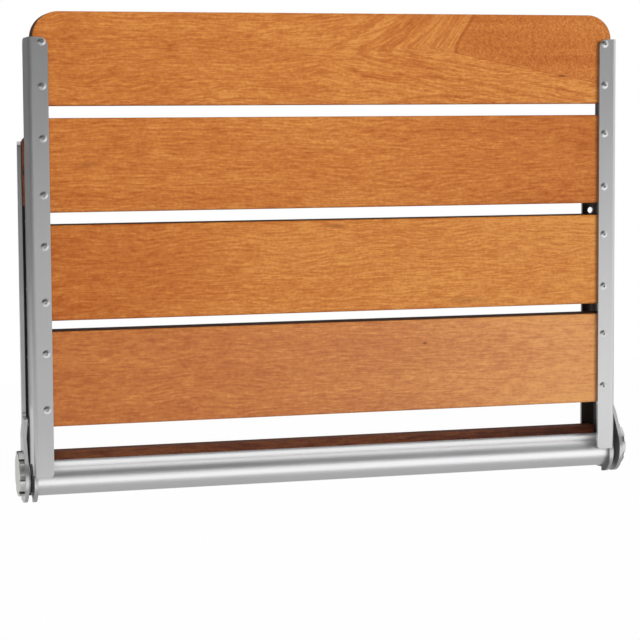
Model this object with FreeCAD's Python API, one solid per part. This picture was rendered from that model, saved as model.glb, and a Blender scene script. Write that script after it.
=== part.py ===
import FreeCAD, Part
import math
import os

# Fold down wall seat, folded up against the wall. Units are millimetres.
# +X is to the right seen from the room, -Y points into the room, +Z is up.
# The origin is the centre of the wall bolt pattern, on the wall plane.
#
# Two helpers carry the layout: "down" is the distance below the top of the first
# slat, and "depth" is the distance behind the front plane of the seat rail flanges.

os.makedirs("parts", exist_ok=True)

V = FreeCAD.Vector

# Overall layout
TOTAL_DEPTH = 51.0
ORIGIN_DOWN = 254.65
SHEET = 3.0

# Slats
SLAT_HALF_LENGTH = 248.6
SLAT_THICK = 25.0
SLATS = ((0.0, 75.8), (85.4, 161.4), (171.6, 248.9), (257.7, 335.1))
SLAT_EDGE_R = 2.0
SLAT_CORNER_R = 21.0
SLAT_CORNER_R_SMALL = 2.5

# Seat rails
SEAT_WEB_IN = 249.5
SEAT_WEB_OUT = SEAT_WEB_IN + SHEET
SEAT_FLANGE_IN = 236.7
SEAT_RAIL_TOP = 20.6
SEAT_FLANGE_BOTTOM = 376.0
SEAT_WEB_DEPTH = 40.0
SEAT_FLANGE_TOP_R = 7.0
SEAT_FLANGE_BOTTOM_R = 4.0
SEAT_WEB_TOP_R = 6.0
SEAT_BEND_R = 3.4

# Slat screws
SCREW_X = 241.5
SCREW_DOWNS = (24.5, 59.7, 101.5, 147.1, 188.4, 233.5, 275.1, 320.7)
SCREW_HEAD_R = 3.3
SCREW_SHANK_R = 1.75
SCREW_LENGTH = 17.0
SCREW_DOME = 0.9
SCREW_SOCKET_R = 1.25
SCREW_SOCKET_DEEP = 1.6
BOARD_SCREW_SINK = 0.2

# Pivot
PIVOT_DOWN = 379.7
PIVOT_DEPTH = 21.1
EAR_R = 19.4
TUBE_R = 14.15
TUBE_BORE_R = 12.15
INSERT_LENGTH = 30.0
BUSH_R = 9.0
BUSH_BORE_R = 6.05
BUSH_LENGTH = 26.0
PIN_R = 6.0
PIN_INNER_X = 225.0
PIN_HEAD_R = 10.0
PIN_HEAD_THICK = 2.0
WASHER_R = 12.0
WASHER_BORE_R = 6.1
WASHER_THICK = 1.6
SPRING_HEIGHT = 1.24
SPRING_SHEET = 0.6

# Pivot cap
CAP_R = 18.55
CAP_THICK = 4.3
CAP_CHAMFER = 0.5
CAP_RISE = 4.6
CAP_POCKET = 2.2
CAP_SLOTS = 8
CAP_SLOT_WIDE = 4.6
CAP_SLOT_DEEP = 2.0
CAP_TURN_RIGHT = 19.5
CAP_TURN_LEFT = -3.0

# Wall rails
WALL_FLANGE_IN = 241.4
WALL_WEB_IN = 254.5
WALL_EAR_IN = 257.0
WALL_RAIL_TOP = 104.5
WALL_EAR_DOWN = 376.5
WALL_EAR_R = 22.4
WALL_RAIL_BOTTOM = WALL_EAR_DOWN + WALL_EAR_R
JOGGLE_START = 329.5
JOGGLE_END = 345.0
JOGGLE_FRONT = 34.6
JOGGLE_REAR = 40.4
WALL_FRONT_TOP = 45.0
WALL_FRONT_LOW = 40.5
WALL_FRONT_LOW_DOWN = 230.0
WALL_SHOULDER_DOWN = 331.0
WALL_SHOULDER_DEPTH = 24.0
WALL_SHOULDER_R = 4.0
WALL_TOP_R = 5.0
WALL_FLANGE_R = 4.0
WALL_BEND_R = 3.6
JOGGLE_R = 12.0
WALL_HOLE_X = 249.0
WALL_HOLE_R = 2.75
WALL_HOLE_Z = (84.75, 28.25, -28.25, -84.75)

# Boards
UPPER_BOARD_HALF_LENGTH = 254.0
LOWER_BOARD_HALF_LENGTH = 248.3
BOARD_THICK = 12.0
UPPER_BOARD = (100.6, 157.0)
LOWER_BOARD = (361.0, 392.0)
BOARD_EDGE_R = 1.5
BOARD_CORNER_R = 5.0
BOARD_REBATE_X = 248.3
BOARD_REBATE_DEPTH = 41.0
BOARD_SCREW_X = 245.2
BOARD_SCREW_LENGTH = 9.0
BOARD_SCREW_DOWNS = (114.0, 144.0, 376.5)

# Stop at 90 degrees and rest when folded
STOP_PIN_R = 3.0
STOP_ANGLE = 11.0
STOP_RECESS_R = 15.9
STOP_TRAVEL = 90.0
BUMPER_X = 251.2
BUMPER_DOWN = 129.0
BUMPER_R = 2.6
BUMPER_THICK = 0.8


def at(x, down, depth):
    """Point from a sideways position, a distance down and a depth."""
    return V(x, depth - TOTAL_DEPTH, ORIGIN_DOWN - down)


def box(x0, x1, down0, down1, depth0, depth1):
    low = at(min(x0, x1), down1, depth0)
    return Part.makeBox(abs(x1 - x0), depth1 - depth0, down1 - down0, low)


def rod_x(radius, x0, x1, down, depth):
    """Cylinder along X between two sideways positions."""
    return Part.makeCylinder(radius, abs(x1 - x0), at(min(x0, x1), down, depth), V(1, 0, 0))


def rod_y(radius, depth0, depth1, x, down):
    """Cylinder along Y between two depths."""
    return Part.makeCylinder(radius, depth1 - depth0, at(x, down, depth0), V(0, 1, 0))


def prism_x(points, x0, x1):
    """Outline of (down, depth) points, extruded along X."""
    low = min(x0, x1)
    corners = [at(low, down, depth) for down, depth in points]
    face = Part.Face(Part.makePolygon(corners + corners[:1]))
    return face.extrude(V(abs(x1 - x0), 0, 0))


def pick(shape, wanted):
    """Edges whose middle point passes a test of (x, down, depth, edge)."""
    found = []
    for edge in shape.Edges:
        middle = edge.valueAt((edge.FirstParameter + edge.LastParameter) / 2)
        x = middle.x
        down = ORIGIN_DOWN - middle.z
        depth = middle.y + TOTAL_DEPTH
        if wanted(x, down, depth, edge):
            found.append(edge)
    return found


def runs_along(edge, axis):
    """True for a straight edge parallel to an axis."""
    if edge.Curve.TypeId != "Part::GeomLine":
        return False
    return abs(abs(edge.Curve.Direction.dot(axis)) - 1.0) < 1e-6


def mirrored(shape):
    return shape.mirror(V(0, 0, 0), V(1, 0, 0))


def save(name, shape):
    shape.exportStep("parts/" + name + ".step")


def save_pair(name, right_shape):
    """The right hand piece as built, and its mirror image on the left."""
    save(name + "_right", right_shape)
    save(name + "_left", mirrored(right_shape))


def head_cone(x, down, face_depth, inward, extra):
    """Countersink cone: widest at face_depth, running inward along Y at 45 degrees."""
    wide = SCREW_HEAD_R + extra
    narrow = SCREW_SHANK_R
    return Part.makeCone(wide, narrow, wide - narrow, at(x, down, face_depth), V(0, inward, 0))


def screw_body(x, down, start, inward, reach, extra):
    """Countersunk head, shank and tip, from the start depth inward."""
    head = head_cone(x, down, start, inward, extra)
    shank = Part.makeCylinder(SCREW_SHANK_R, reach - 2.5, at(x, down, start), V(0, inward, 0))
    tip_at = at(x, down, start + inward * (reach - 2.5))
    tip = Part.makeCone(SCREW_SHANK_R, 0.5, 2.5, tip_at, V(0, inward, 0))
    return head.fuse([shank, tip])


def slat_screw(x, down):
    """Raised head screw with a six sided socket, driven from the front."""
    screw = screw_body(x, down, 0.0, 1, SCREW_LENGTH, 0.0)
    ball_r = (SCREW_HEAD_R ** 2 + SCREW_DOME ** 2) / (2 * SCREW_DOME)
    ball = Part.makeSphere(ball_r, at(x, down, ball_r - SCREW_DOME))
    screw = screw.fuse(ball.common(rod_y(SCREW_HEAD_R, -SCREW_DOME - 1, 0.0, x, down)))
    corners = []
    for corner in range(6):
        angle = math.radians(60 * corner)
        corners.append(at(x + SCREW_SOCKET_R * math.cos(angle), down + SCREW_SOCKET_R * math.sin(angle),
                          -SCREW_DOME - 1))
    face = Part.Face(Part.makePolygon(corners + corners[:1]))
    return screw.cut(face.extrude(V(0, SCREW_SOCKET_DEEP + 1, 0)))


def slat_screw_hole(x, down):
    return screw_body(x, down, 0.0, 1, SCREW_LENGTH, 0.05)


def board_screw(x, down):
    """Flat countersunk screw with a cross recess, driven from the back."""
    start = TOTAL_DEPTH - BOARD_SCREW_SINK
    screw = screw_body(x, down, start, -1, BOARD_SCREW_LENGTH - BOARD_SCREW_SINK, 0.0)
    for wide, high in ((3.2, 0.8), (0.8, 3.2)):
        slot = box(x - wide / 2, x + wide / 2, down - high / 2, down + high / 2, start - 1.3, start)
        screw = screw.cut(slot)
    return screw


def board_screw_hole(x, down):
    start = TOTAL_DEPTH - BOARD_SCREW_SINK
    hole = screw_body(x, down, start, -1, BOARD_SCREW_LENGTH - BOARD_SCREW_SINK, 0.05)
    return hole.fuse(rod_y(SCREW_HEAD_R + 0.05, start, TOTAL_DEPTH, x, down))


def slat_screw_holes():
    holes = []
    for side in (-1, 1):
        for down in SCREW_DOWNS:
            holes.append(slat_screw_hole(side * SCREW_X, down))
    return holes


def make_slat(index, holes):
    top, bottom = SLATS[index]
    slat = box(-SLAT_HALF_LENGTH, SLAT_HALF_LENGTH, top, bottom, SHEET, SHEET + SLAT_THICK)
    for corner_down, radius in ((top, SLAT_CORNER_R if index == 0 else SLAT_CORNER_R_SMALL),
                                (bottom, SLAT_CORNER_R_SMALL)):
        corners = pick(slat, lambda x, down, depth, edge: runs_along(edge, V(0, 1, 0))
                       and abs(down - corner_down) < 0.01)
        slat = slat.makeFillet(radius, corners)
    rims = pick(slat, lambda x, down, depth, edge: abs(depth - SHEET) < 0.01
                or abs(depth - SHEET - SLAT_THICK) < 0.01)
    slat = slat.makeFillet(SLAT_EDGE_R, rims)
    return slat.cut(holes)


def sector_x(inner_r, outer_r, angle0, angle1, x0, x1):
    """Ring sector about the pivot. Angles run from the back (+Y) towards up (+Z)."""
    steps = 12
    points = []
    for step in range(steps + 1):
        angle = math.radians(angle0 + (angle1 - angle0) * step / steps)
        reach = outer_r / math.cos(math.radians((angle1 - angle0) / steps / 2))
        points.append((PIVOT_DOWN - reach * math.sin(angle), PIVOT_DEPTH + reach * math.cos(angle)))
    points.append((PIVOT_DOWN, PIVOT_DEPTH))
    wedge = prism_x(points, x0, x1)
    return wedge.cut(rod_x(inner_r, x0 - 1, x1 + 1, PIVOT_DOWN, PIVOT_DEPTH))


def make_seat_rail(holes):
    web = box(SEAT_WEB_IN, SEAT_WEB_OUT, SEAT_RAIL_TOP, SEAT_FLANGE_BOTTOM, 0.0, SEAT_WEB_DEPTH)
    flange = box(SEAT_FLANGE_IN, SEAT_WEB_OUT, SEAT_RAIL_TOP, SEAT_FLANGE_BOTTOM, 0.0, SHEET)
    rail = web.fuse(flange).removeSplitter()
    outer_bend = pick(rail, lambda x, down, depth, edge: runs_along(edge, V(0, 0, 1))
                      and abs(x - SEAT_WEB_OUT) < 0.01 and depth < 0.01)
    rail = rail.makeFillet(SEAT_BEND_R, outer_bend)
    inner_bend = pick(rail, lambda x, down, depth, edge: runs_along(edge, V(0, 0, 1))
                      and abs(x - SEAT_WEB_IN) < 0.01 and abs(depth - SHEET) < 0.01)
    rail = rail.makeFillet(0.45, inner_bend)
    top_inner = pick(rail, lambda x, down, depth, edge: runs_along(edge, V(0, 1, 0))
                     and abs(x - SEAT_FLANGE_IN) < 0.01 and abs(down - SEAT_RAIL_TOP) < 0.01)
    rail = rail.makeFillet(SEAT_FLANGE_TOP_R, top_inner)
    bottom_inner = pick(rail, lambda x, down, depth, edge: runs_along(edge, V(0, 1, 0))
                        and abs(x - SEAT_FLANGE_IN) < 0.01 and abs(down - SEAT_FLANGE_BOTTOM) < 0.01)
    rail = rail.makeFillet(SEAT_FLANGE_BOTTOM_R, bottom_inner)
    top_rear = pick(rail, lambda x, down, depth, edge: runs_along(edge, V(1, 0, 0))
                    and abs(depth - SEAT_WEB_DEPTH) < 0.01 and abs(down - SEAT_RAIL_TOP) < 0.01)
    rail = rail.makeFillet(SEAT_WEB_TOP_R, top_rear)
    ear = rod_x(EAR_R, SEAT_WEB_IN, SEAT_WEB_OUT, PIVOT_DOWN, PIVOT_DEPTH)
    rail = rail.fuse(ear).removeSplitter()
    half_width = math.degrees(math.asin(STOP_PIN_R / EAR_R))
    low_angle = STOP_ANGLE - STOP_TRAVEL - half_width
    high_angle = STOP_ANGLE + half_width + 3.0
    recess = sector_x(STOP_RECESS_R, EAR_R + 4.0, low_angle, high_angle, SEAT_WEB_IN - 1, SEAT_WEB_OUT + 1)
    rail = rail.cut(recess)
    rail = rail.cut(rod_x(BUSH_R, SEAT_WEB_IN - 1, SEAT_WEB_OUT + 1, PIVOT_DOWN, PIVOT_DEPTH))
    return rail.cut(holes)


def joggled_block(thickness, inner_x, rear_depth):
    """A block whose outer side follows the web's joggle, in height and in depth."""
    near = WALL_WEB_IN + thickness
    far = WALL_EAR_IN + thickness
    top = WALL_RAIL_TOP - 1 if thickness == 0 else WALL_RAIL_TOP
    bottom = WALL_RAIL_BOTTOM + 1 if thickness == 0 else WALL_RAIL_BOTTOM
    front = -6.0 if thickness == 0 else -5.0
    in_height = [(inner_x, top), (near, top), (near, JOGGLE_START), (far, JOGGLE_END),
                 (far, bottom), (inner_x, bottom)]
    outline = [at(x, down, front) for x, down in in_height]
    tall = Part.Face(Part.makePolygon(outline + outline[:1])).extrude(V(0, rear_depth - front, 0))
    kinks = pick(tall, lambda x, down, depth, edge: runs_along(edge, V(0, 1, 0))
                 and top + 1 < down < bottom - 1)
    tall = tall.makeFillet(JOGGLE_R, kinks)
    in_depth = [(inner_x, front), (far, front), (far, JOGGLE_FRONT), (near, JOGGLE_REAR),
                (near, rear_depth), (inner_x, rear_depth)]
    outline = [at(x, bottom, depth) for x, depth in in_depth]
    deep = Part.Face(Part.makePolygon(outline + outline[:1])).extrude(V(0, 0, bottom - top))
    kinks = pick(deep, lambda x, down, depth, edge: runs_along(edge, V(0, 0, 1))
                 and x > near - 0.01 and front + 1 < depth < rear_depth - 1)
    deep = deep.makeFillet(JOGGLE_R / 2, kinks)
    return tall.common(deep)


def make_wall_rail(board_screws):
    outside = joggled_block(SHEET, WALL_FLANGE_IN, TOTAL_DEPTH)
    back_edge = pick(outside, lambda x, down, depth, edge: runs_along(edge, V(0, 0, 1))
                     and abs(depth - TOTAL_DEPTH) < 0.01 and abs(x - WALL_WEB_IN - SHEET) < 0.01)
    outside = outside.makeFillet(WALL_BEND_R, back_edge)
    joggled = outside.cut(joggled_block(0.0, WALL_FLANGE_IN - 5, TOTAL_DEPTH - SHEET))
    reach = math.hypot(WALL_EAR_DOWN - WALL_SHOULDER_DOWN, PIVOT_DEPTH - WALL_SHOULDER_DEPTH)
    to_start = math.atan2(WALL_EAR_DOWN - WALL_SHOULDER_DOWN, WALL_SHOULDER_DEPTH - PIVOT_DEPTH)
    tangent = to_start + math.acos(WALL_EAR_R / reach)
    touch_down = WALL_EAR_DOWN - WALL_EAR_R * math.sin(tangent)
    touch_depth = PIVOT_DEPTH + WALL_EAR_R * math.cos(tangent)
    side = prism_x([(WALL_RAIL_TOP, TOTAL_DEPTH), (WALL_RAIL_TOP, WALL_FRONT_TOP),
                    (WALL_FRONT_LOW_DOWN, WALL_FRONT_LOW), (WALL_SHOULDER_DOWN, WALL_FRONT_LOW),
                    (WALL_SHOULDER_DOWN, WALL_SHOULDER_DEPTH),
                    (touch_down, touch_depth), (WALL_EAR_DOWN, PIVOT_DEPTH),
                    (WALL_RAIL_BOTTOM, PIVOT_DEPTH), (WALL_RAIL_BOTTOM, TOTAL_DEPTH)],
                   WALL_FLANGE_IN - 5, WALL_EAR_IN + 10)
    side = side.fuse(rod_x(WALL_EAR_R, WALL_FLANGE_IN - 5, WALL_EAR_IN + 10, WALL_EAR_DOWN, PIVOT_DEPTH))
    side = side.removeSplitter()
    knee = pick(side, lambda x, down, depth, edge: runs_along(edge, V(1, 0, 0))
                and abs(down - WALL_SHOULDER_DOWN) < 0.01)
    side = side.makeFillet(WALL_SHOULDER_R, knee)
    top_front = pick(side, lambda x, down, depth, edge: runs_along(edge, V(1, 0, 0))
                     and abs(down - WALL_RAIL_TOP) < 0.01 and depth < TOTAL_DEPTH - 1)
    side = side.makeFillet(WALL_TOP_R, top_front)
    rail = joggled.common(side)
    corners = pick(rail, lambda x, down, depth, edge: runs_along(edge, V(0, 1, 0))
                   and abs(x - WALL_FLANGE_IN) < 0.01)
    rail = rail.makeFillet(WALL_FLANGE_R, corners)
    for z in WALL_HOLE_Z:
        rail = rail.cut(rod_y(WALL_HOLE_R, TOTAL_DEPTH - SHEET - 1, TOTAL_DEPTH + 1,
                              WALL_HOLE_X, ORIGIN_DOWN - z))
    rail = rail.cut(rod_x(PIN_R, WALL_WEB_IN - 5, WALL_EAR_IN + 10, PIVOT_DOWN, PIVOT_DEPTH))
    down, depth = stop_centre()
    rail = rail.cut(rod_x(STOP_PIN_R, WALL_WEB_IN - 5, WALL_EAR_IN + 10, down, depth))
    return rail.cut(board_screws)


def stop_centre():
    angle = math.radians(STOP_ANGLE)
    return PIVOT_DOWN - EAR_R * math.sin(angle), PIVOT_DEPTH + EAR_R * math.cos(angle)


def make_board(limits, half_length, rounded_top):
    down0, down1 = limits
    depth1 = TOTAL_DEPTH - SHEET
    board = box(-half_length, half_length, down0, down1, depth1 - BOARD_THICK, depth1)
    if rounded_top:
        corners = pick(board, lambda x, down, depth, edge: runs_along(edge, V(0, 1, 0))
                       and abs(down - down0) < 0.01)
        board = board.makeFillet(BOARD_CORNER_R, corners)
    front = pick(board, lambda x, down, depth, edge: abs(depth - depth1 + BOARD_THICK) < 0.01
                 and (runs_along(edge, V(1, 0, 0)) or rounded_top))
    return board.makeFillet(BOARD_EDGE_R, front)


def make_upper_board():
    """The ends are thinned so that the folded seat's side rails clear them."""
    board = make_board(UPPER_BOARD, UPPER_BOARD_HALF_LENGTH, True)
    down0, down1 = UPPER_BOARD
    for side in (-1, 1):
        rebate = box(side * BOARD_REBATE_X, side * (UPPER_BOARD_HALF_LENGTH + 1), down0 - 1, down1 + 1,
                     30.0, BOARD_REBATE_DEPTH)
        board = board.cut(rebate)
    return board


def board_screw_holes(side):
    return [board_screw_hole(side * BOARD_SCREW_X, down) for down in BOARD_SCREW_DOWNS]


def make_tube():
    tube = rod_x(TUBE_R, -SEAT_WEB_IN, SEAT_WEB_IN, PIVOT_DOWN, PIVOT_DEPTH)
    return tube.cut(rod_x(TUBE_BORE_R, -SEAT_WEB_IN - 1, SEAT_WEB_IN + 1, PIVOT_DOWN, PIVOT_DEPTH))


def make_insert():
    insert = rod_x(TUBE_BORE_R, SEAT_WEB_IN - INSERT_LENGTH, SEAT_WEB_IN, PIVOT_DOWN, PIVOT_DEPTH)
    return insert.cut(rod_x(BUSH_R, SEAT_WEB_IN - INSERT_LENGTH - 1, SEAT_WEB_IN + 1,
                            PIVOT_DOWN, PIVOT_DEPTH))


def make_bush():
    bush = rod_x(BUSH_R, SEAT_WEB_OUT - BUSH_LENGTH, SEAT_WEB_OUT, PIVOT_DOWN, PIVOT_DEPTH)
    return bush.cut(rod_x(BUSH_BORE_R, SEAT_WEB_OUT - BUSH_LENGTH - 1, SEAT_WEB_OUT + 1,
                          PIVOT_DOWN, PIVOT_DEPTH))


def make_pin():
    outside = WALL_EAR_IN + SHEET
    pin = rod_x(PIN_R, PIN_INNER_X, outside, PIVOT_DOWN, PIVOT_DEPTH)
    nose = pick(pin, lambda x, down, depth, edge: abs(x - PIN_INNER_X) < 0.01)
    pin = pin.makeChamfer(0.8, nose)
    head = rod_x(PIN_HEAD_R, outside, outside + PIN_HEAD_THICK, PIVOT_DOWN, PIVOT_DEPTH)
    rim = pick(head, lambda x, down, depth, edge: abs(x - outside - PIN_HEAD_THICK) < 0.01)
    head = head.makeFillet(0.6, rim)
    return pin.fuse(head).removeSplitter()


def make_cap(turn):
    """Flat cap with spanner slots round its rim. turn is the first slot's angle above the front."""
    outside = WALL_EAR_IN + SHEET
    down = PIVOT_DOWN - CAP_RISE
    cap = rod_x(CAP_R, outside, outside + CAP_THICK, down, PIVOT_DEPTH)
    rim = pick(cap, lambda x, down, depth, edge: abs(x - outside - CAP_THICK) < 0.01)
    cap = cap.makeChamfer(CAP_CHAMFER, rim)
    centre = at(outside, down, PIVOT_DEPTH)
    for index in range(CAP_SLOTS):
        slot = box(outside - 1, outside + CAP_THICK + 1, down - CAP_SLOT_WIDE / 2, down + CAP_SLOT_WIDE / 2,
                   PIVOT_DEPTH - CAP_R - 1, PIVOT_DEPTH - CAP_R + CAP_SLOT_DEEP)
        slot.rotate(centre, V(-1, 0, 0), turn + index * 360.0 / CAP_SLOTS)
        cap = cap.cut(slot)
    pocket = rod_x(PIN_HEAD_R, outside - 1, outside + CAP_POCKET, PIVOT_DOWN, PIVOT_DEPTH)
    return cap.cut(pocket)


def make_washer(x0):
    washer = rod_x(WASHER_R, x0, x0 + WASHER_THICK, PIVOT_DOWN, PIVOT_DEPTH)
    return washer.cut(rod_x(WASHER_BORE_R, x0 - 1, x0 + WASHER_THICK + 1, PIVOT_DOWN, PIVOT_DEPTH))


def make_disc_spring(x0):
    """Cone spring: its inner rim is towards the seat rail, its outer rim towards the ear."""
    rise = SPRING_HEIGHT - SPRING_SHEET
    profile = [(x0, WASHER_BORE_R), (x0 + SPRING_SHEET, WASHER_BORE_R),
               (x0 + SPRING_SHEET + rise, WASHER_R), (x0 + rise, WASHER_R)]
    corners = [at(x, PIVOT_DOWN - radius, PIVOT_DEPTH) for x, radius in profile]
    face = Part.Face(Part.makePolygon(corners + corners[:1]))
    return face.revolve(at(0, PIVOT_DOWN, PIVOT_DEPTH), V(1, 0, 0), 360)


def make_stop_pin():
    down, depth = stop_centre()
    return rod_x(STOP_PIN_R, SEAT_WEB_IN - 0.3, WALL_WEB_IN + SHEET, down, depth)


def make_bumper():
    front = BOARD_REBATE_DEPTH
    bumper = rod_y(BUMPER_R, front - BUMPER_THICK, front, BUMPER_X, BUMPER_DOWN)
    rim = pick(bumper, lambda x, down, depth, edge: abs(depth - front + BUMPER_THICK) < 0.01)
    return bumper.makeFillet(0.3, rim)


slat_holes = slat_screw_holes()
for slat_index in range(len(SLATS)):
    save("slat_%d" % (slat_index + 1), make_slat(slat_index, slat_holes))

save_pair("seat_rail", make_seat_rail(slat_holes))
screws = [slat_screw(SCREW_X, down) for down in SCREW_DOWNS]
save_pair("slat_screws", Part.makeCompound(screws))

save_pair("wall_rail", make_wall_rail(board_screw_holes(1)))
all_board_holes = board_screw_holes(1) + board_screw_holes(-1)
save("upper_back_board", make_upper_board().cut(all_board_holes))
lower_board = make_board(LOWER_BOARD, LOWER_BOARD_HALF_LENGTH, False)
save("lower_back_board", lower_board.cut(all_board_holes))
screws = [board_screw(BOARD_SCREW_X, down) for down in BOARD_SCREW_DOWNS]
save_pair("back_board_screws", Part.makeCompound(screws))

save("cross_tube", make_tube())
save_pair("tube_insert", make_insert())
save_pair("pivot_bush", make_bush())
save_pair("pivot_pin", make_pin())
save("pivot_cap_right", make_cap(CAP_TURN_RIGHT))
save("pivot_cap_left", mirrored(make_cap(CAP_TURN_LEFT)))
save_pair("inner_friction_washer", make_washer(SEAT_WEB_OUT))
spring_x = WALL_EAR_IN - WASHER_THICK - SPRING_HEIGHT
save_pair("disc_spring", make_disc_spring(spring_x))
save_pair("outer_friction_washer", make_washer(WALL_EAR_IN - WASHER_THICK))
save_pair("stop_pin", make_stop_pin())
save_pair("bumper", make_bumper())
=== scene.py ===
# %% [markdown]
# A fold down wall seat
#
# Four oiled hardwood slats are screwed to two stainless steel seat rails. The rails turn on pins
# in two wall rails, which dark boards tie together and screws hold to the wall. The packed model
# already has every part in its true shape, size and place, down to the slots in the pivot caps, so
# no new piece is modelled here. This lesson is about looks. Each part gets the finish of the real
# one, made from shader nodes alone, and then come the floor, the light and the camera.

import math

import bmesh
import bpy
from mathutils import Matrix, Vector


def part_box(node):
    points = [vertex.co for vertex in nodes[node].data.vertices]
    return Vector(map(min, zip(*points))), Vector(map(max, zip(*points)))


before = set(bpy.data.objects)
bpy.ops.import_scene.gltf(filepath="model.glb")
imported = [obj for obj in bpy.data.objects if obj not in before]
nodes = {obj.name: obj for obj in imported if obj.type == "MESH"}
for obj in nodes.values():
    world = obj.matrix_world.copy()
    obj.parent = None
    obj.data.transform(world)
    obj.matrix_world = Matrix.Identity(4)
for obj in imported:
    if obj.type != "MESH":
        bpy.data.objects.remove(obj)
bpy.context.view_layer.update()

# %% [markdown]
# Writing a material as a sum
#
# A procedural material is a web of small nodes. They could be placed and linked one by one, but
# then a sum of three terms takes ten lines and hides what it says. Here one class wraps the output
# of a node, and Python's own + - * / on it add the Math nodes. The reflected forms let a plain
# number come first, as in 1 - mask.

# %% A socket that understands arithmetic
class Wire:
    """The output of a node. Arithmetic on it adds Math nodes to the same material."""

    def __init__(self, recipe, socket):
        self.recipe = recipe
        self.socket = socket

    def maths(self, operation, *terms):
        return self.recipe.node("ShaderNodeMath", {"operation": operation}, dict(enumerate(terms)))

    def __add__(self, other):
        return self.maths("ADD", self, other)

    def __radd__(self, other):
        return self.maths("ADD", other, self)

    def __sub__(self, other):
        return self.maths("SUBTRACT", self, other)

    def __rsub__(self, other):
        return self.maths("SUBTRACT", other, self)

    def __mul__(self, other):
        return self.maths("MULTIPLY", self, other)

    def __rmul__(self, other):
        return self.maths("MULTIPLY", other, self)

    def __truediv__(self, other):
        return self.maths("DIVIDE", self, other)

    def __rtruediv__(self, other):
        return self.maths("DIVIDE", other, self)

    def root(self):
        return self.maths("SQRT", self)

    def absolute(self):
        """The number without its sign."""
        return (self * self).root()

    def at_least(self, low):
        return self.maths("MAXIMUM", self, low)

    def at_most(self, high):
        return self.maths("MINIMUM", self, high)

    def step(self, low, high, to_low=0.0, to_high=1.0):
        """A soft step: to_low up to low, to_high from high on."""
        limits = {"Value": self, "From Min": low, "From Max": high, "To Min": to_low, "To Max": to_high}
        return self.recipe.node("ShaderNodeMapRange", {"interpolation_type": "SMOOTHSTEP"}, limits)


print("a wire knows", ", ".join(name for name in vars(Wire) if not name.startswith("_")))

# %% [markdown]
# One method for every other node
#
# Everything that isn't arithmetic comes from one method. It takes the node's type, its settings and
# what goes into its sockets, and it links a wire and writes a plain value. The short methods below
# it name the few nodes that this seat needs: the place of a point, noise, a mix of two colours, a
# bump and the Principled shader.

# %% A material that is written line by line
BUMP_STRENGTH = 0.5
WIDE_ROUGHNESS = 0.8


class Recipe:
    """An empty material, or the world, and the methods that fill it."""

    def __init__(self, name, owner=None):
        self.material = owner or bpy.data.materials.new(name)
        self.material.use_nodes = True
        self.tree = self.material.node_tree
        self.tree.nodes.clear()

    def node(self, kind, settings=None, sockets=None, output=0):
        made = self.tree.nodes.new(kind)
        for key, value in (settings or {}).items():
            setattr(made, key, value)
        for key, value in (sockets or {}).items():
            if isinstance(value, Wire):
                self.tree.links.new(value.socket, made.inputs[key])
            else:
                made.inputs[key].default_value = value
        return Wire(self, made.outputs[output]) if len(made.outputs) else None

    def place(self):
        """The three coordinates of a point on the part, in metres."""
        point = self.node("ShaderNodeTexCoord", output="Object")
        return [self.node("ShaderNodeSeparateXYZ", None, {0: point}, axis) for axis in ("X", "Y", "Z")]

    def vector(self, x, y, z):
        return self.node("ShaderNodeCombineXYZ", None, {"X": x, "Y": y, "Z": z})

    def noise(self, vector, detail=2.0, rough=0.5):
        sockets = {"Vector": vector, "Scale": 1.0, "Detail": detail, "Roughness": rough}
        return self.node("ShaderNodeTexNoise", None, sockets)

    def mix(self, factor, first, second):
        return self.node("ShaderNodeMix", {"data_type": "RGBA"}, {0: factor, 6: first, 7: second}, 2)

    def bump(self, height, distance):
        sockets = {"Height": height, "Distance": distance, "Strength": BUMP_STRENGTH}
        return self.node("ShaderNodeBump", None, sockets)

    def principled(self, **sockets):
        """The Principled shader, with its sockets named in lower case."""
        named = {}
        for key, value in sockets.items():
            named[key.replace("_", " ").title().replace("Ior", "IOR")] = value
        return self.node("ShaderNodeBsdfPrincipled", None, named)

    def surface(self, broad=0.0, **sockets):
        """A finished surface. broad is the share of it that scatters light far more widely."""
        shader = self.principled(**sockets)
        if broad:
            wide = self.principled(**{**sockets, "roughness": WIDE_ROUGHNESS})
            shader = self.node("ShaderNodeMixShader", None, {0: broad, 1: shader, 2: wide})
        self.node("ShaderNodeOutputMaterial", None, {"Surface": shader})
        print("made material", self.material.name, "with", len(self.tree.nodes), "nodes")
        return self.material


# %% [markdown]
# Colours, and how a part gets its material
#
# A shader counts light, while the numbers of a picture editor are bent to suit the eye. The colours
# of wood are easier to judge in an editor, so they are written its way and unbent here. A part could
# have several materials, one for each group of faces. Here each part has one, and what differs over
# its surface is worked out inside the material.

# %% Colours, and putting a material on a part
BLACK = (0.0, 0.0, 0.0, 1.0)
WHITE = (1.0, 1.0, 1.0, 1.0)


def linear(red, green, blue):
    """A colour as a picture editor writes it, 0 to 255, turned into the light it stands for."""
    parts = [channel / 255 for channel in (red, green, blue)]
    light = [part / 12.92 if part <= 0.04045 else ((part + 0.055) / 1.055) ** 2.4 for part in parts]
    return (*light, 1.0)


def scaled(colour, factor):
    return (*[channel * factor for channel in colour[:3]], 1.0)


def dress(material, *names):
    for name in names:
        slots = nodes[name].data.materials
        slots.clear()
        slots.append(material)
    print(material.name, "goes on", ", ".join(names))


print("middle grey is", [round(v, 3) for v in linear(128, 128, 128)[:3]], "as light")

# %% [markdown]
# Oiled hardwood: the grain
#
# The slats are sawn from a golden brown tropical wood. On the real board the growth rings show as
# wavy bands along it, and the pores as short dark dashes that follow the bands. A picture of wood
# could be wrapped on, but it would stretch at the ends, and a Wave node draws bands as even as a
# ploughed field. So both come from noise in the part's own coordinates, stretched along X. It runs
# through the board, meets itself round each edge, and is new on every slat through its seed.

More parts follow.
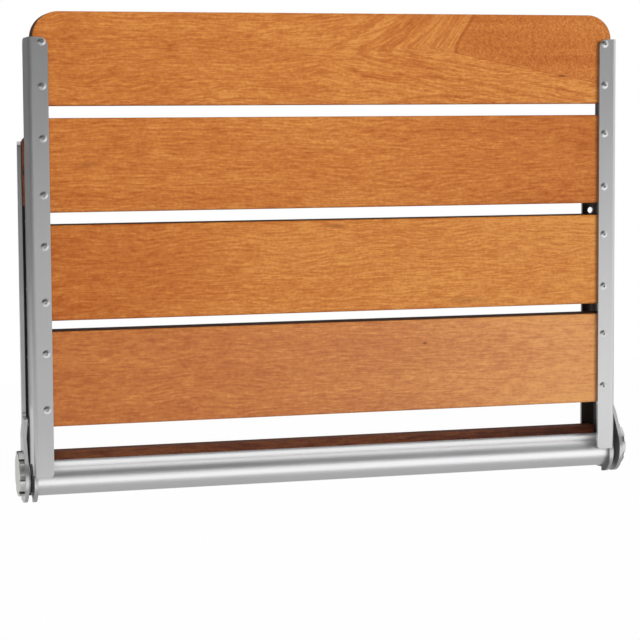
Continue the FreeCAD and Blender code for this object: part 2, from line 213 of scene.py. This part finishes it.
# %% The height across the board, bent by slow noise
def bent_height(r, x, y, z, seed):
    """The height across the board, so bent that lines drawn with it wander, and its slow sway."""
    sway = r.noise(r.vector(x * 5.0 + seed, y * 9.0, z * 11.0), 2.0) - 0.5
    curl = r.noise(r.vector(x * 8.0, y * 12.0, z * 16.0 + seed), 1.0).step(0.42, 0.62, 0.001, 0.007)
    ripple = r.noise(r.vector(x * 36.0, y * 40.0 + seed, z * 70.0), 1.0) - 0.5
    return z + sway * 0.022 + ripple * curl, sway


# %% Bands, pores and grain, each a number round zero
def wood_grain(r, x, y, z, across, seed):
    """Slow patches, streaks, pore dashes and the finest grain. A larger number makes a finer one."""
    patches = r.noise(r.vector(x * 9.0 + seed, y * 20.0, across * 45.0), 2.0, 0.5) - 0.5
    streaks = r.noise(r.vector(x * 3.0, seed + y * 60.0, across * 150.0), 3.0, 0.55) - 0.5
    dashes = r.noise(r.vector(x * 62.0 + seed, y * 500.0, across * 560.0), 2.0, 0.65) - 0.5
    grains = r.noise(r.vector(x * 330.0, y * 330.0 + seed, z * 420.0), 2.0, 0.6) - 0.5
    return patches, streaks, dashes, grains


# %% [markdown]
# The flame on the top slat
#
# Where a board is cut slantwise through the rings, they meet in V shaped lines, and carpenters call
# that a flame. The real top slat has one at its right: nested lines whose tips point left, round a
# redder field that looks stippled, because there the pores are cut end on. Rings drawn by distance
# from a point would be circles. So the distance is measured from a bent line instead: it grows with
# the height above or below the tip, and how fast it grows sets how flat each arm of the V lies.

# %% How far a point is from the flame's outer line
FLAME_TIP_X = 0.1004
FLAME_TIP_Z = 0.2229
FLAME_ROUNDING = 0.00003


def flame_distance(x, z):
    """Distance in metres to the left of the V, negative inside it."""
    along = x - FLAME_TIP_X
    above = z - FLAME_TIP_Z
    upper_arm = along.step(-0.09, 0.0, 2.2, 0.7)
    lower_arm = along.step(-0.09, 0.02, 2.2, 5.0)
    flatness = lower_arm + (upper_arm - lower_arm) * above.step(-0.002, 0.002)
    reach = above * flatness
    return (reach * reach + FLAME_ROUNDING).root() - along


def flame_bend(x, z):
    """How far the grain beside the flame is pushed up or down, so that it runs along the arms."""
    nearness = ((x + 0.03) / 0.13).at_least(0.0).at_most(1.1)
    arms = (z - FLAME_TIP_Z).step(-0.004, 0.004, 0.009, -0.058)
    return nearness * nearness * nearness * arms


print("the flame's tip is at x", FLAME_TIP_X, "and z", FLAME_TIP_Z)


# %% The flame's colour and its stippled field
def draw_flame(r, x, y, z, sway, fine, grains):
    """What the flame takes off the board's golden tone, and the fine grain with the stipple in it."""
    distance = flame_distance(x, z)
    inside = distance.step(-0.010, 0.000, 1.0, 0.0)
    stipple = r.noise(r.vector(x * 800.0, y * 800.0, z * 800.0), 1.0) - 0.5
    fine = fine + (stipple * 1.3 + grains * 0.7 - fine) * inside
    wavy = distance + sway * 0.02
    rings = r.noise(r.vector(wavy * 60.0, x * 9.0, z * 12.0), 2.0).step(0.46, 0.62, -0.06, 0.26)
    rings = rings * x.step(-0.03, 0.03) * (1.0 - inside)
    line = wavy.step(-0.004, -0.001, 0.0, 1.0) * wavy.step(-0.001, 0.002, 1.0, 0.0)
    return inside * 0.24 + rings + line * 0.60, fine


# %% [markdown]
# Knots, and painted shade on the edges
#
# A few small dark marks sit on the real slats, each an ellipse with a soft rim. The slats' long
# edges get painted shade, almost black, for the deep shade in the narrow gaps between them, and a
# painted shadow line runs where the slats meet the right rail. Separate marks could be small flat
# pieces, but those would float on the wood, so each is a mask in the material, worked out from the
# distance to its middle or to an edge.

# %% Where the marks are and what colour they have
KNOT = linear(110, 50, 22)
# The colour of painted shade on the slats' edges in the gaps, and of the painted shadow beside the right
# rail.
PAINTED_EDGE_SHADE = linear(58, 28, 14)
rail_low, rail_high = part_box("seat_rail_right")
RAIL_EDGE = rail_low[0]
RAIL_TOP = rail_high[2]
# A painted shadow: a dark line on the slats beside the right rail, as wide and as strong as these say.
RAIL_SHADOW_WIDTH = 0.0036
RAIL_SHADOW_STRENGTH = 0.75
EDGE_START = 0.0008
EDGE_FULL = 0.0026
EDGE_STRENGTH = 0.92
print("the right rail's edge is at", round(RAIL_EDGE, 4), "and its top at", round(RAIL_TOP, 4))


# %% Knots and edges as masks
def draw_knots(r, x, z, colour, knots):
    """Each knot has the place of its middle, half its length, half its height and its strength."""
    for middle_x, middle_z, half_long, half_high, strength in knots:
        along = (x - middle_x) / half_long
        above = (z - middle_z) / half_high
        from_middle = (along * along + above * above).root()
        colour = r.mix(from_middle.step(0.25, 1.0, strength, 0.0), colour, KNOT)
    return colour


def draw_painted_edge_shade(r, x, y, z, colour, front, back):
    """front and back are the slat's two broad faces. What lies between them is its edge, which gets
    painted shade.
    """
    past_front = y.step(front + EDGE_START, front + EDGE_FULL)
    before_back = y.step(back - EDGE_FULL, back - EDGE_START, 1.0, 0.0)
    # The edge mask is painted shade, for the shade in the gaps between the slats.
    edge = past_front * before_back
    below_top = z.step(RAIL_TOP - 0.003, RAIL_TOP, 1.0, 0.0)
    # A painted shadow along the right rail, where its flange shades the ends of the slats.
    rail_shadow = x.step(RAIL_EDGE - RAIL_SHADOW_WIDTH, RAIL_EDGE + 0.0004, 0.0, RAIL_SHADOW_STRENGTH) * below_top
    return r.mix((edge * EDGE_STRENGTH).at_least(rail_shadow), colour, PAINTED_EDGE_SHADE)


# %% [markdown]
# Putting the wood together
#
# All the grain is added up to one number, the tone, and that number picks the colour between red,
# orange and gold. A colour ramp would do it too, but two Mix nodes keep the sum in plain sight. The
# same fine grain also dulls the oil a little and gives a very shallow bump, so that light catches
# on it as it does on open pores.

# %% One board's material
WARM = (linear(168, 87, 29), linear(194, 116, 50), linear(217, 148, 73))
# The pale colour of a painted sheen, as light falling on the wood from the right leaves it.
PAINTED_SHEEN_COLOUR = linear(226, 196, 172)
BOARD_END = 0.25
PORE_DEPTH = 0.00015


def make_wood(name, seed, tones, pale=0.0, knots=(), flame=False, palette=WARM, faces=None):
    """tones: how golden the left end, the middle and the right end are, from 0 red to 1 gold."""
    red, orange, gold = palette
    left, middle, right = tones
    r = Recipe(name)
    x, y, z = r.place()
    across, sway = bent_height(r, x, y, z, seed)
    if flame:
        across = across + flame_bend(x, z)
    patches, streaks, dashes, grains = wood_grain(r, x, y, z, across, seed)
    fine = dashes * 1.7 + grains * 0.8
    tone = x.step(-BOARD_END, 0.0, left, middle) + x.step(0.0, BOARD_END, 0.0, right - middle)
    if flame:
        redder, fine = draw_flame(r, x, y, z, sway, fine, grains)
        tone = tone - redder
    tone = tone + patches * 0.55 + streaks * 0.45 + fine
    colour = r.mix(tone * 2.0, red, orange)
    colour = r.mix(tone * 2.0 - 1.0, colour, gold)
    # A painted sheen: the wood fades towards pale, more at the right end, where light from the right
    # falls.
    if pale:
        colour = r.mix(x.step(-BOARD_END, BOARD_END, pale * 0.3, pale), colour, PAINTED_SHEEN_COLOUR)
    colour = draw_knots(r, x, z, colour, knots)
    # faces lets the slat's edges take painted shade.
    if faces:
        colour = draw_painted_edge_shade(r, x, y, z, colour, *faces)
    rough = 0.46 - fine * 0.12 + patches * 0.10
    normal = r.bump(fine, PORE_DEPTH)
    return r.surface(base_color=colour, roughness=rough, normal=normal, specular_ior_level=0.25)


# %% [markdown]
# Four slats, each its own board
#
# No two boards from a tree are alike, so each slat gets its own seed, its own run of colour from
# left to right and the marks that the real one shows. On slats 3 and 4 that run is partly their own
# colour and partly painted light, a sheen from the right that grows towards the right end. One
# shared material would repeat the same grain four times, one above the other, and the eye finds
# that at once.

# %% Dress the slats
slat_looks = {
    "slat_1": dict(seed=3.1, tones=(0.42, 0.60, 0.64), flame=True,
                   knots=[(0.2032, 0.2027, 0.005, 0.0012, 0.8)]),
    "slat_2": dict(seed=11.7, tones=(0.40, 0.54, 0.30),
                   knots=[(-0.2037, 0.1314, 0.012, 0.004, 0.25)]),
    # Slats 3 and 4 grow lighter to the right, partly their own colour and partly a painted sheen.
    "slat_3": dict(seed=23.9, tones=(0.24, 0.62, 0.74),
                   knots=[(0.0009, 0.0780, 0.014, 0.0020, 0.45), (0.1174, 0.0125, 0.024, 0.0045, 0.28)]),
    "slat_4": dict(seed=37.3, tones=(0.26, 0.42, 0.82), pale=0.11,
                   knots=[(0.0797, -0.0231, 0.003, 0.0016, 0.7)]),
}
for name, look in slat_looks.items():
    low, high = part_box(name)
    dress(make_wood("oiled_hardwood_" + name[-1], faces=(low[1], high[1]), **look), name)

# %% [markdown]
# The back boards
#
# The two boards behind the seat are of a darker wood. They are painted darker from the left towards
# the right end, a painted shade for the shade at that end beside the rail. They could be copies of
# the slats' material with a dark wood stain. Giving the same recipe darker colours is simpler, and
# both boards share one material, because they lie far apart and only strips of them show.

# %% Dress the back boards
DARK_BROWN = (linear(70, 36, 24), linear(100, 53, 31), linear(124, 74, 44))
# The tones fall from left to right: the darker right end is painted shade.
board_wood = make_wood("dark_back_board_wood", 51.0, (0.75, 0.55, 0.2), palette=DARK_BROWN)
dress(board_wood, "upper_back_board", "lower_back_board")

# %% [markdown]
# Brushed stainless steel
#
# The rails are brushed along their length, the tube along its own, and the pins are turned. On
# brushed metal the colour hardly changes. What shows is that light smears across the scratches. The
# shader's anisotropy could do that, but it needs a tangent on every curved face and doesn't bake.
# So noise that is stretched along the brushing moves the roughness and a bump of a few thousandths
# of a millimetre. On the rails a share of the surface also scatters light more widely, as a coarse
# grit leaves it.

# %% Steel, brushed along one axis
# The colour of painted shade on the steel, nearly black, for the deep shade inside the rails and the cap
# slots.
PAINTED_SHADE_GREY = (0.075, 0.062, 0.055, 1.0)
SCRATCH_DEPTH = 0.000004


def make_steel(name, grey, roughness, brush, strength=1.0, depth=SCRATCH_DEPTH, broad=0.0, painted_shade_mask=None):
    """brush is the number of scratches in a metre along X, Y and Z. The last argument marks where shade
    is painted.
    """
    r = Recipe(name)
    x, y, z = r.place()
    lines = r.noise(r.vector(x * brush[0], y * brush[1], z * brush[2]), 3.0, 0.65)
    clouds = r.noise(r.vector(x * 14.0, y * 14.0, z * 14.0), 2.0)
    shade = (lines - 0.5) * 0.10 * strength + (clouds - 0.5) * 0.06
    colour = r.mix(shade.step(-0.08, 0.08), scaled(grey, 0.93), grey)
    # Painted shade where the mask says, on faces that lie in deep shade.
    if painted_shade_mask:
        colour = r.mix(painted_shade_mask(x, y, z), colour, PAINTED_SHADE_GREY)
    rough = roughness + (lines - 0.5) * 0.16 * strength + (clouds - 0.5) * 0.05
    return r.surface(broad, base_color=colour, metallic=1.0, roughness=rough, normal=r.bump(lines, depth))


# %% [markdown]
# Painted shade on the steel
#
# On the real seat the faces beside and behind the slats look nearly black, because they lie in deep
# shade, and so do the floors of the spanner slots round the pivot caps. That shade is painted into
# the steel's colour. A second material on those faces would be a change to the mesh, and a packed
# part's mesh stays as it is. So each is a mask in the part's own coordinates, with soft sides, that
# takes in those faces. The places are measured on the packed parts, so that the masks follow if a
# part is resized.

# %% Where the rails' inner faces lie
# The rails' sheet is 3 mm, and the upper board ends half a millimetre short of each wall rail's web.
SHEET = 0.003
BOARD_PLAY = 0.0005
SEAT_WEB_INNER = rail_high[0] - SHEET
SEAT_FLANGE_BACK = rail_low[1] + SHEET
WALL_WEB_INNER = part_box("upper_back_board")[1][0] + BOARD_PLAY
WALL_FLANGE_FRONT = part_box("wall_rail_right")[1][1] - SHEET
print("the webs' inner faces are at", round(SEAT_WEB_INNER, 4), "and", round(WALL_WEB_INNER, 4))


# %% Inside the rails
def inside_seat_rail(x, y, z):
    """The inner faces of the seat rails, beside and behind the slats."""
    within = x.absolute().step(SEAT_WEB_INNER - 0.0001, SEAT_WEB_INNER + 0.0004, 0.8, 0.0)
    behind = y.step(SEAT_FLANGE_BACK + 0.0005, SEAT_FLANGE_BACK + 0.0015)
    return within * behind


def inside_wall_rail(x, y, z):
    """The front of the wall rails' flanges and the foot of their webs."""
    within = x.absolute().step(WALL_WEB_INNER - 0.0004, WALL_WEB_INNER + 0.0002, 1.0, 0.0)
    reach = y.step(WALL_FLANGE_FRONT - 0.0065, WALL_FLANGE_FRONT - 0.0035)
    before = y.step(WALL_FLANGE_FRONT + 0.0001, WALL_FLANGE_FRONT + 0.0005, 1.0, 0.0)
    return within * reach * before


# %% Inside the slots of the pivot caps
cap_low, cap_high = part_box("pivot_cap_right")
CAP_AXIS_Y = (cap_low[1] + cap_high[1]) / 2
CAP_AXIS_Z = (cap_low[2] + cap_high[2]) / 2
CAP_RIM = (cap_high[2] - cap_low[2]) / 2
CAP_FACE = cap_high[0]
print("a pivot cap is", round(CAP_RIM * 2000, 1), "mm across")


def inside_cap_slots(x, y, z):
    """The floors of the spanner slots, which lie nearer the cap's axis than its rim."""
    across = y - CAP_AXIS_Y
    above = z - CAP_AXIS_Z
    from_axis = (across * across + above * above).root()
    in_slot = from_axis.step(CAP_RIM - 0.00135, CAP_RIM - 0.00055, 0.7, 0.0)
    behind_face = x.absolute().step(CAP_FACE - 0.0007, CAP_FACE - 0.0003, 1.0, 0.0)
    return in_slot * behind_face


# %% Dress the rails and the tube
RAIL_GREY = (0.66, 0.66, 0.665, 1.0)
TUBE_GREY = (0.93, 0.93, 0.94, 1.0)
UPRIGHT_BRUSH = (1500.0, 1500.0, 18.0)

seat_rail_steel = make_steel("brushed_rail_steel", RAIL_GREY, 0.34, UPRIGHT_BRUSH, broad=0.25,
                             painted_shade_mask=inside_seat_rail)
dress(seat_rail_steel, "seat_rail_left", "seat_rail_right")
wall_rail_steel = make_steel("brushed_wall_rail_steel", RAIL_GREY, 0.34, UPRIGHT_BRUSH, broad=0.25,
                             painted_shade_mask=inside_wall_rail)
dress(wall_rail_steel, "wall_rail_left", "wall_rail_right")
tube_steel = make_steel("satin_tube_steel", TUBE_GREY, 0.38, (14.0, 900.0, 900.0), 0.6, SCRATCH_DEPTH / 2)
dress(tube_steel, "cross_tube")

# %% Dress the pins, caps, screws and springs
PIN_GREY = (0.74, 0.735, 0.72, 1.0)
CAP_GREY = (0.70, 0.695, 0.68, 1.0)
SCREW_GREY = (0.62, 0.62, 0.62, 1.0)
SPRING_GREY = (0.42, 0.42, 0.44, 1.0)
TURNED = (900.0, 500.0, 500.0)

pin_steel = make_steel("turned_pin_steel", PIN_GREY, 0.34, TURNED, 0.5)
dress(pin_steel, "pivot_pin_left", "pivot_pin_right", "stop_pin_left", "stop_pin_right",
      "tube_insert_left", "tube_insert_right")
cap_steel = make_steel("slotted_cap_steel", CAP_GREY, 0.40, TURNED, 0.5, painted_shade_mask=inside_cap_slots)
dress(cap_steel, "pivot_cap_left", "pivot_cap_right")
screw_steel = make_steel("bright_screw_steel", SCREW_GREY, 0.33, (400.0, 400.0, 400.0), 0.4)
dress(screw_steel, "slat_screws_left", "slat_screws_right",
      "back_board_screws_left", "back_board_screws_right")
spring_steel = make_steel("plain_spring_steel", SPRING_GREY, 0.40, (500.0, 500.0, 500.0), 0.5)
dress(spring_steel, "disc_spring_left", "disc_spring_right")

# %% [markdown]
# Plastic and rubber
#
# The washers and bushes of the hinge are black plastic and the bumpers soft rubber. Both are nearly
# plain, and a single flat colour would look like a hole in the picture. A moulded surface has the
# fine grain of its mould, so one noise lightens the colour, changes the roughness and lifts a bump
# all at once, as a real grain does.

# %% Moulded parts
PLASTIC_BLACK = (0.035, 0.035, 0.037, 1.0)
RUBBER_BLACK = (0.022, 0.022, 0.022, 1.0)


def make_moulded(name, colour, roughness, grain, depth):
    """grain is the number of grains in a metre, and depth how deep they are."""
    r = Recipe(name)
    x, y, z = r.place()
    speckle = r.noise(r.vector(x * grain, y * grain, z * grain), 3.0, 0.6)
    shade = r.mix(speckle.step(0.35, 0.7), colour, scaled(colour, 1.35))
    rough = roughness + (speckle - 0.5) * 0.2
    return r.surface(base_color=shade, roughness=rough, normal=r.bump(speckle, depth))


hinge_plastic = make_moulded("black_hinge_plastic", PLASTIC_BLACK, 0.45, 1800.0, 0.00002)
dress(hinge_plastic, "pivot_bush_left", "pivot_bush_right", "inner_friction_washer_left",
      "inner_friction_washer_right", "outer_friction_washer_left", "outer_friction_washer_right")
bumper_rubber = make_moulded("bumper_rubber", RUBBER_BLACK, 0.75, 1200.0, 0.00003)
dress(bumper_rubber, "bumper_left", "bumper_right")

# %% [markdown]
# Flat cards for the studio
#
# The floor and the panels round the seat are flat rectangles. Blender's plane could be added and
# scaled by hand, but a rectangle given by two opposite corners is easier to read, because both
# corners are places in the room. bmesh makes a grid of one cell, and it is turned, stretched and
# moved into place, so that the object itself stays at the origin.

# %% A rectangle between two corners
def make_card(name, corner_a, corner_b, material):
    """The corners share one coordinate, and the card is flat along that axis."""
    middle = (Vector(corner_a) + Vector(corner_b)) / 2
    size = Vector(corner_b) - Vector(corner_a)
    flat_axis = [axis for axis in range(3) if abs(size[axis]) < 1e-9][0]
    turns = (Matrix.Rotation(math.pi / 2, 4, "Y"), Matrix.Rotation(math.pi / 2, 4, "X"), Matrix())
    stretch = [1.0 if axis == flat_axis else abs(size[axis]) for axis in range(3)]
    shape = bmesh.new()
    bmesh.ops.create_grid(shape, x_segments=1, y_segments=1, size=0.5, matrix=turns[flat_axis])
    bmesh.ops.scale(shape, vec=stretch, verts=shape.verts)
    bmesh.ops.translate(shape, vec=middle, verts=shape.verts)
    mesh = bpy.data.meshes.new(name)
    shape.to_mesh(mesh)
    shape.free()
    mesh.materials.append(material)
    card = bpy.data.objects.new(name, mesh)
    bpy.context.scene.collection.objects.link(card)
    print("card", name, "measures", [round(abs(v), 3) for v in size])
    return card


# %% [markdown]
# A white floor that keeps its shadow
#
# The seat is shown on pure white. Turning the lamps up until the floor burns out would flood the
# seat as well. So the floor glows only where the camera looks at it, and a small share of it stays
# an ordinary pale floor, which holds the seat's shadow.

# %% The floor
FLOOR_Z = -0.60
FLOOR_REACH = 4.0
FLOOR_GREY = (0.86, 0.86, 0.86, 1.0)
FLOOR_GLOW = 0.985


def make_floor_material():
    r = Recipe("pale_floor")
    lit = r.node("ShaderNodeBsdfDiffuse", None, {"Color": FLOOR_GREY})
    glow = r.node("ShaderNodeEmission", None, {"Color": WHITE, "Strength": 1.0})
    seen = r.node("ShaderNodeLightPath", output="Is Camera Ray")
    both = r.node("ShaderNodeMixShader", None, {0: seen * FLOOR_GLOW, 1: lit, 2: glow})
    r.node("ShaderNodeOutputMaterial", None, {"Surface": both})
    return r.material


make_card("floor", (-FLOOR_REACH, -FLOOR_REACH, FLOOR_Z), (FLOOR_REACH, FLOOR_REACH, FLOOR_Z),
          make_floor_material())

# %% [markdown]
# A world that is white to look at
#
# Behind the seat there is nothing but the world. It is white where the camera sees it, and also in
# a reflection or through a clear surface, or the metal would mirror a grey room that isn't there.
# As a source of light it is a plain grey, so that colours come out about as they are written.

# %% The world
AMBIENT = (0.30, 0.30, 0.31, 1.0)

world = bpy.data.worlds.new("studio")
bpy.context.scene.world = world
sky = Recipe("studio", world)
seen = sky.node("ShaderNodeLightPath", output="Is Camera Ray")
for kind in ("Is Glossy Ray", "Is Transmission Ray"):
    seen = seen.at_least(sky.node("ShaderNodeLightPath", output=kind))
ground = sky.mix(seen, AMBIENT, WHITE)
light = sky.node("ShaderNodeBackground", None, {"Color": ground})
sky.node("ShaderNodeOutputWorld", None, {"Surface": light})
print("world made with", len(sky.tree.nodes), "nodes")

# %% [markdown]
# What the steel reflects
#
# Steel has hardly any colour of its own. It looks like steel because it mirrors a room with dark
# and bright places, and a white world alone would leave it flat. Real boards round the seat would
# also shade the wood and show in the picture. These cards are seen by reflections and by nothing
# else. Dark walls in front, at the left and behind give the rails their fall from dark to light,
# and a bright table top below gives the tube its light band. The table is in four parts, because a
# real one is lit unevenly: bright just in front of the seat, dull under it, and further out
# brighter at the right than at the left.

# %% Cards that only reflections see
CARD_STRENGTH = 1.5


def make_glow(name, left, right):
    """A glow that changes from the left end of the seat to past its right end."""
    r = Recipe(name)
    x, y, z = r.place()
    level = x.step(-0.30, 0.45, left / CARD_STRENGTH, right / CARD_STRENGTH)
    colour = r.mix(level, BLACK, WHITE)
    glow = r.node("ShaderNodeEmission", None, {"Color": colour, "Strength": CARD_STRENGTH})
    r.node("ShaderNodeOutputMaterial", None, {"Surface": glow})
    return r.material


def reflection_card(name, corner_a, corner_b, left, right=None):
    """left and right are the card's brightness at its two ends, where 1 is white."""
    right = left if right is None else right
    card = make_card(name, corner_a, corner_b, make_glow(name + "_tone", left, right))
    card.visible_camera = False
    card.visible_diffuse = False
    card.visible_transmission = False
    card.visible_shadow = False


# %% The dark room
reflection_card("room_front", (-2.4, -2.6, 0.04), (2.2, -2.6, 3.4), 0.05, 0.12)
reflection_card("room_left", (-2.4, -2.6, -0.30), (-2.4, 1.8, 2.0), 0.10)
reflection_card("room_back", (-2.4, 1.8, -0.30), (2.2, 1.8, 1.8), 0.12)

# %% The bright table top, in four parts
TABLE_Z = -0.17

reflection_card("table_near", (-1.5, -0.30, TABLE_Z), (1.5, -0.09, TABLE_Z), 1.15)
reflection_card("table_far", (-1.5, -1.50, TABLE_Z), (1.5, -0.30, TABLE_Z), 0.62, 1.45)
reflection_card("table_under", (-0.262, -0.09, TABLE_Z), (1.5, 0.30, TABLE_Z), 0.42)
reflection_card("table_left", (-1.5, -0.09, TABLE_Z), (-0.262, 1.7, TABLE_Z), 0.8)

# %% [markdown]
# Two narrow strips of light
#
# Two places on the seat mirror a near part that is too dark there. The top of the tube mirrors the
# lowest slat, and the left seat rail mirrors the inside of the ear beside it. On the real seat both
# are bright. A narrow card in each gap stands for the light that reaches in there.

# %% Strips in the gaps
reflection_card("strip_in_left_crack", (-0.2535, -0.0465, -0.121), (-0.2535, -0.020, -0.066), 0.75)
reflection_card("strip_over_tube", (-0.235, -0.041, -0.084), (0.246, -0.017, -0.084), 1.0)

# %% [markdown]
# Lamps
#
# Three soft area lamps light the wood: a large key from the upper left, a fill from the right at
# the seat's own height, and a faint one from behind for its top edges. Small lamps would draw hard
# shadows under the screw heads. The lamps are hidden from reflections, because their rectangles
# would show as bright patches in the steel, and the cards above already say what it mirrors.

# %% Soft lamps
WALL_HOLES_MIDDLE = Vector((0.0, 0.0, 0.0))


def soft_lamp(name, place, width, height, watts):
    """A rectangle of light at that place, facing the seat."""
    light = bpy.data.lights.new(name, "AREA")
    light.shape = "RECTANGLE"
    light.size = width
    light.size_y = height
    light.energy = watts
    lamp = bpy.data.objects.new(name, light)
    bpy.context.scene.collection.objects.link(lamp)
    lamp.location = place
    lamp.rotation_euler = (WALL_HOLES_MIDDLE - Vector(place)).to_track_quat("-Z", "Y").to_euler()
    lamp.visible_glossy = False
    print("lamp", name, "gives", watts, "W")


soft_lamp("key", (-0.6, -2.2, 1.5), 1.4, 1.0, 42.0)
soft_lamp("fill", (1.8, -1.8, 0.3), 1.2, 1.2, 12.0)
soft_lamp("back", (0.3, 1.4, 1.4), 1.2, 0.8, 4.0)

# %% [markdown]
# The camera
#
# The picture was taken from the left and from a little above the seat's middle, with a long lens.
# Setting such a camera by eye takes many tries, and a wrong lens can hide behind a wrong distance.
# Its place, turn and lens were worked out from corners and round ends of the seat whose places are
# known. The picture is a crop of a larger one, so the lens looks a little off its middle, and the
# camera's shift stands for that.

# %% Camera
CAMERA_PLACE = (-0.43117, -1.62497, 0.17312)
CAMERA_TURN = (85.6355, 0.3042, -14.9012)
LENS_MM = 110.26
SENSOR_MM = 36.0
SHIFT_UP = -0.0914

camera_data = bpy.data.cameras.new("photo_camera")
camera_data.sensor_width = SENSOR_MM
camera_data.lens = LENS_MM
camera_data.shift_y = SHIFT_UP
camera_data.clip_start = 0.01
camera = bpy.data.objects.new("photo_camera", camera_data)
bpy.context.scene.collection.objects.link(camera)
camera.location = CAMERA_PLACE
camera.rotation_euler = [math.radians(angle) for angle in CAMERA_TURN]
bpy.context.scene.camera = camera
bpy.context.scene.view_settings.view_transform = "Standard"
distance = (Vector(CAMERA_PLACE) - WALL_HOLES_MIDDLE).length
print("camera", round(distance, 2), "m from the middle of the wall holes")

# %% [markdown]
# The end
#
# Looks must not change the part's size.
